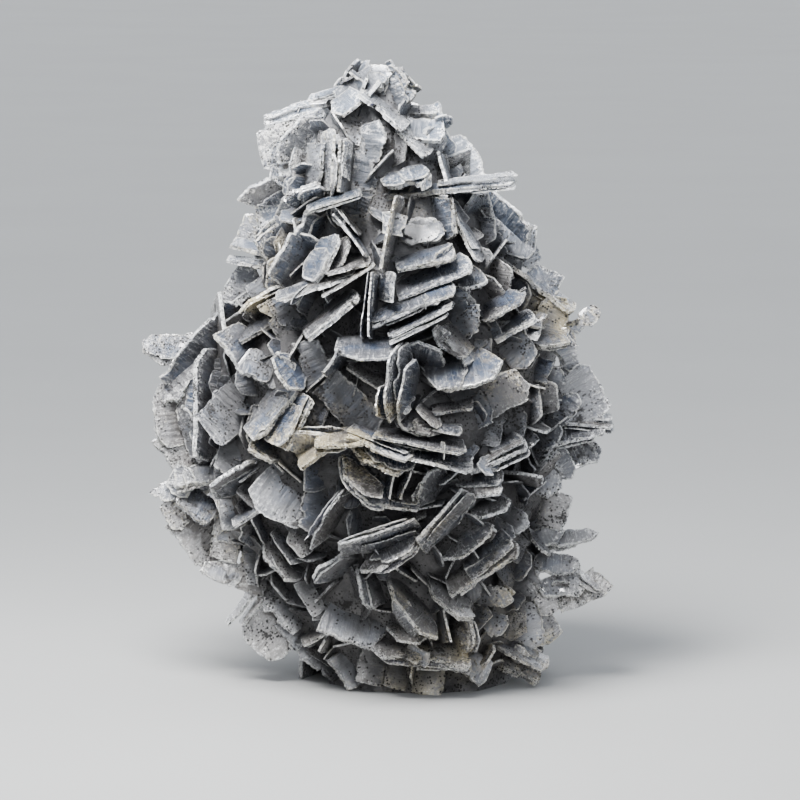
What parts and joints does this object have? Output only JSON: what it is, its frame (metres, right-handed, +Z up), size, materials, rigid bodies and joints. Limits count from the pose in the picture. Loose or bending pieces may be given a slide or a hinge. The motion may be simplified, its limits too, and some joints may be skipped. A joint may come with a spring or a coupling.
{
  "type": "barite crystal cluster",
  "caption": "Upright cluster of intergrown tabular barite crystals, thick frosted blue-grey blades fanning out all round, cut flat below to stand on a shelf or base.",
  "frame": {"origin": "a point on the flat cut base, on the vertical line through the peak's foot", "axes": "+Z up to the peak, -Y towards the side that the picture shows, +X to that side's right"},
  "size_m": [0.1424, 0.1117, 0.1912],
  "materials": {
    "barite": "translucent blue-grey crystal with frosted, slightly glinting faces, creamy worn rims and fine dark specks"
  },
  "bodies": {
    "root": {"barite_crystal_cluster": "barite"}
  },
  "joints": []
}
